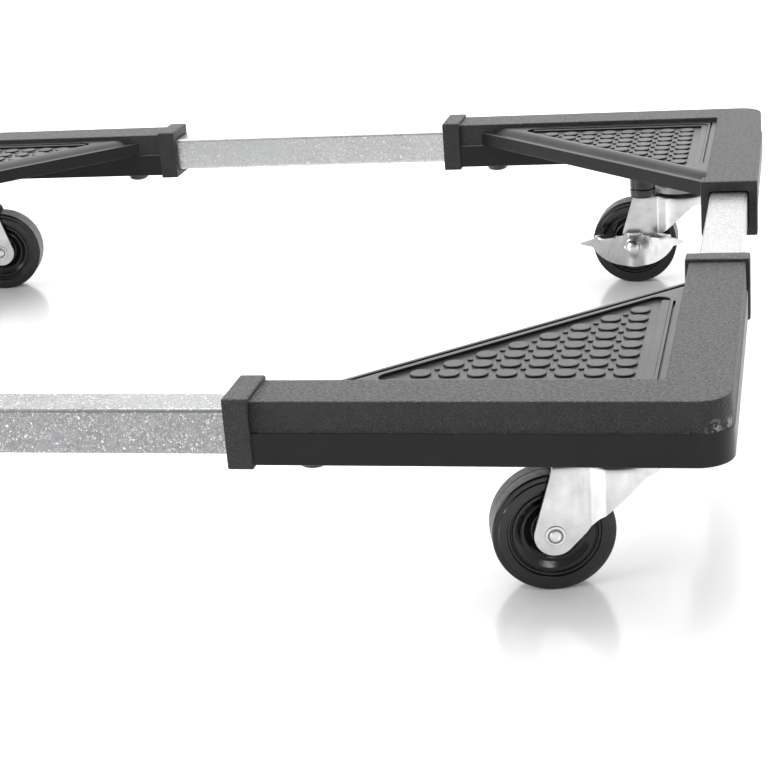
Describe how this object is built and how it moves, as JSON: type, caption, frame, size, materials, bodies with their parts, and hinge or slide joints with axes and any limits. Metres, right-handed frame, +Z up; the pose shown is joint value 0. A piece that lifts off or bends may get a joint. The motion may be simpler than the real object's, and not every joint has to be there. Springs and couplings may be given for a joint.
{
  "type": "adjustable rolling appliance base",
  "caption": "Adjustable square rolling base: moulded corner brackets slide on galvanised square tubes and ride on swivel casters, some with side brake levers.",
  "frame": {"origin": "on the floor, at the middle of the footprint", "axes": "+X is the width to the right, +Y is the depth away from the viewer, +Z is up"},
  "size_m": [0.5862, 0.5448, 0.0986],
  "materials": {
    "moulded_corner": "fine leather grain, satin",
    "clamp_screw": "satin",
    "galvanised_tube": "hot-dip galvanised, spangled",
    "fork_steel": "zinc plated, satin",
    "lever_steel": "bright zinc plated",
    "bright_fastener": "bright zinc plated",
    "bearing_steel": "plain",
    "wheel_rubber": "satin",
    "wheel_plastic": "semi-gloss"
  },
  "bodies": {
    "corner_front_left": {"corner_front_left": "moulded_corner", "kingpin_front_left": "bearing_steel", "upper_race_front_left": "bearing_steel", "swivel_balls_front_left": "bearing_steel"},
    "caster_front_left": {"fork_front_left": "fork_steel", "axle_sleeve_front_left": "bearing_steel", "axle_washers_front_left": "bright_fastener", "axle_bolt_front_left": "bright_fastener", "brake_nut_front_left": "bright_fastener"},
    "wheel_front_left": {"wheel_core_front_left": "wheel_plastic", "tyre_front_left": "wheel_rubber"},
    "brake_front_left": {"brake_lever_front_left": "lever_steel"},
    "corner_front_right": {"corner_front_right": "moulded_corner", "kingpin_front_right": "bearing_steel", "upper_race_front_right": "bearing_steel", "swivel_balls_front_right": "bearing_steel"},
    "caster_front_right": {"fork_front_right": "fork_steel", "axle_sleeve_front_right": "bearing_steel", "axle_washers_front_right": "bright_fastener", "axle_rivet_front_right": "bright_fastener"},
    "wheel_front_right": {"wheel_core_front_right": "wheel_plastic", "tyre_front_right": "wheel_rubber"},
    "corner_back_right": {"corner_back_right": "moulded_corner", "kingpin_back_right": "bearing_steel", "upper_race_back_right": "bearing_steel", "swivel_balls_back_right": "bearing_steel"},
    "caster_back_right": {"fork_back_right": "fork_steel", "axle_sleeve_back_right": "bearing_steel", "axle_washers_back_right": "bright_fastener", "axle_bolt_back_right": "bright_fastener", "brake_nut_back_right": "bright_fastener"},
    "wheel_back_right": {"wheel_core_back_right": "wheel_plastic", "tyre_back_right": "wheel_rubber"},
    "brake_back_right": {"brake_lever_back_right": "lever_steel"},
    "corner_back_left": {"corner_back_left": "moulded_corner", "kingpin_back_left": "bearing_steel", "upper_race_back_left": "bearing_steel", "swivel_balls_back_left": "bearing_steel"},
    "caster_back_left": {"fork_back_left": "fork_steel", "axle_sleeve_back_left": "bearing_steel", "axle_washers_back_left": "bright_fastener", "axle_rivet_back_left": "bright_fastener"},
    "wheel_back_left": {"wheel_core_back_left": "wheel_plastic", "tyre_back_left": "wheel_rubber"},
    "front_tube": {"front_tube": "galvanised_tube"},
    "back_tube": {"back_tube": "galvanised_tube"},
    "left_tube": {"left_tube": "galvanised_tube"},
    "right_tube": {"right_tube": "galvanised_tube"},
    "clamp_screw_front_tube_left": {"clamp_screw_front_tube_left": "clamp_screw"},
    "clamp_screw_front_tube_right": {"clamp_screw_front_tube_right": "clamp_screw"},
    "clamp_screw_back_tube_left": {"clamp_screw_back_tube_left": "clamp_screw"},
    "clamp_screw_back_tube_right": {"clamp_screw_back_tube_right": "clamp_screw"},
    "clamp_screw_left_tube_front": {"clamp_screw_left_tube_front": "clamp_screw"},
    "clamp_screw_left_tube_back": {"clamp_screw_left_tube_back": "clamp_screw"},
    "clamp_screw_right_tube_front": {"clamp_screw_right_tube_front": "clamp_screw"},
    "clamp_screw_right_tube_back": {"clamp_screw_right_tube_back": "clamp_screw"}
  },
  "joints": [
    {"name": "front_tube_slide", "type": "slide", "parent": "corner_front_left", "child": "front_tube", "axis": [1, 0, 0], "range_m": [-0.064, 0.056]},
    {"name": "front_right_slide", "type": "slide", "parent": "front_tube", "child": "corner_front_right", "axis": [1, 0, 0], "range_m": [-0.064, 0.056]},
    {"name": "left_tube_slide", "type": "slide", "parent": "corner_front_left", "child": "left_tube", "axis": [0, 1, 0], "range_m": [-0.04325, 0.07675]},
    {"name": "back_left_slide", "type": "slide", "parent": "left_tube", "child": "corner_back_left", "axis": [0, 1, 0], "range_m": [-0.04325, 0.07675]},
    {"name": "back_tube_slide", "type": "slide", "parent": "corner_back_left", "child": "back_tube", "axis": [1, 0, 0], "range_m": [-0.064, 0.056]},
    {"name": "right_tube_slide", "type": "slide", "parent": "corner_front_right", "child": "right_tube", "axis": [0, 1, 0], "range_m": [-0.04325, 0.07675]},
    {"name": "back_right_slide", "type": "slide", "parent": "right_tube", "child": "corner_back_right", "axis": [0, 1, 0], "range_m": [-0.04325, 0.07675]},
    {"name": "swivel_front_left", "type": "hinge", "parent": "corner_front_left", "child": "caster_front_left", "pos_m": [-0.2415, -0.22075, 0.059], "axis": [0, 0, 1], "continuous": true},
    {"name": "wheel_spin_front_left", "type": "hinge", "parent": "caster_front_left", "child": "wheel_front_left", "pos_m": [-0.21435, -0.2179, 0.026], "axis": [0.1045, -0.9945, 0], "continuous": true},
    {"name": "brake_front_left", "type": "hinge", "parent": "caster_front_left", "child": "brake_front_left", "pos_m": [-0.21435, -0.2179, 0.026], "axis": [0.1045, -0.9945, 0], "range_deg": [0, 20]},
    {"name": "swivel_front_right", "type": "hinge", "parent": "corner_front_right", "child": "caster_front_right", "pos_m": [0.2415, -0.22075, 0.059], "axis": [0, 0, 1], "continuous": true},
    {"name": "wheel_spin_front_right", "type": "hinge", "parent": "caster_front_right", "child": "wheel_front_right", "pos_m": [0.215, -0.22731, 0.026], "axis": [-0.2402, 0.9707, 0], "continuous": true},
    {"name": "swivel_back_right", "type": "hinge", "parent": "corner_back_right", "child": "caster_back_right", "pos_m": [0.2415, 0.22075, 0.059], "axis": [0, 0, 1], "continuous": true},
    {"name": "wheel_spin_back_right", "type": "hinge", "parent": "caster_back_right", "child": "wheel_back_right", "pos_m": [0.2142, 0.22118, 0.026], "axis": [0.0157, 0.9999, 0], "continuous": true},
    {"name": "brake_back_right", "type": "hinge", "parent": "caster_back_right", "child": "brake_back_right", "pos_m": [0.2142, 0.22118, 0.026], "axis": [0.0157, 0.9999, 0], "range_deg": [0, 20]},
    {"name": "swivel_back_left", "type": "hinge", "parent": "corner_back_left", "child": "caster_back_left", "pos_m": [-0.2415, 0.22075, 0.059], "axis": [0, 0, 1], "continuous": true},
    {"name": "wheel_spin_back_left", "type": "hinge", "parent": "caster_back_left", "child": "wheel_back_left", "pos_m": [-0.2147, 0.22596, 0.026], "axis": [0.1908, -0.9816, 0], "continuous": true},
    {"name": "turn_clamp_screw_front_tube_left", "type": "hinge", "parent": "corner_front_left", "child": "clamp_screw_front_tube_left", "pos_m": [-0.123, -0.25711, 0.0725], "axis": [0, 0, 1], "continuous": true},
    {"name": "turn_clamp_screw_left_tube_front", "type": "hinge", "parent": "corner_front_left", "child": "clamp_screw_left_tube_front", "pos_m": [-0.27786, -0.10225, 0.0725], "axis": [0, 0, 1], "continuous": true},
    {"name": "turn_clamp_screw_right_tube_front", "type": "hinge", "parent": "corner_front_right", "child": "clamp_screw_right_tube_front", "pos_m": [0.27786, -0.10225, 0.0725], "axis": [0, 0, 1], "continuous": true},
    {"name": "turn_clamp_screw_front_tube_right", "type": "hinge", "parent": "corner_front_right", "child": "clamp_screw_front_tube_right", "pos_m": [0.123, -0.25711, 0.0725], "axis": [0, 0, 1], "continuous": true},
    {"name": "turn_clamp_screw_back_tube_right", "type": "hinge", "parent": "corner_back_right", "child": "clamp_screw_back_tube_right", "pos_m": [0.123, 0.25711, 0.0725], "axis": [0, 0, 1], "continuous": true},
    {"name": "turn_clamp_screw_right_tube_back", "type": "hinge", "parent": "corner_back_right", "child": "clamp_screw_right_tube_back", "pos_m": [0.27786, 0.10225, 0.0725], "axis": [0, 0, 1], "continuous": true},
    {"name": "turn_clamp_screw_left_tube_back", "type": "hinge", "parent": "corner_back_left", "child": "clamp_screw_left_tube_back", "pos_m": [-0.27786, 0.10225, 0.0725], "axis": [0, 0, 1], "continuous": true},
    {"name": "turn_clamp_screw_back_tube_left", "type": "hinge", "parent": "corner_back_left", "child": "clamp_screw_back_tube_left", "pos_m": [-0.123, 0.25711, 0.0725], "axis": [0, 0, 1], "continuous": true}
  ],
  "couplings": [
    {"joint": "front_right_slide", "follows": "front_tube_slide", "ratio": 1},
    {"joint": "back_tube_slide", "follows": "front_tube_slide", "ratio": 1},
    {"joint": "back_left_slide", "follows": "left_tube_slide", "ratio": 1},
    {"joint": "right_tube_slide", "follows": "left_tube_slide", "ratio": 1},
    {"joint": "back_right_slide", "follows": "left_tube_slide", "ratio": 1}
  ]
}
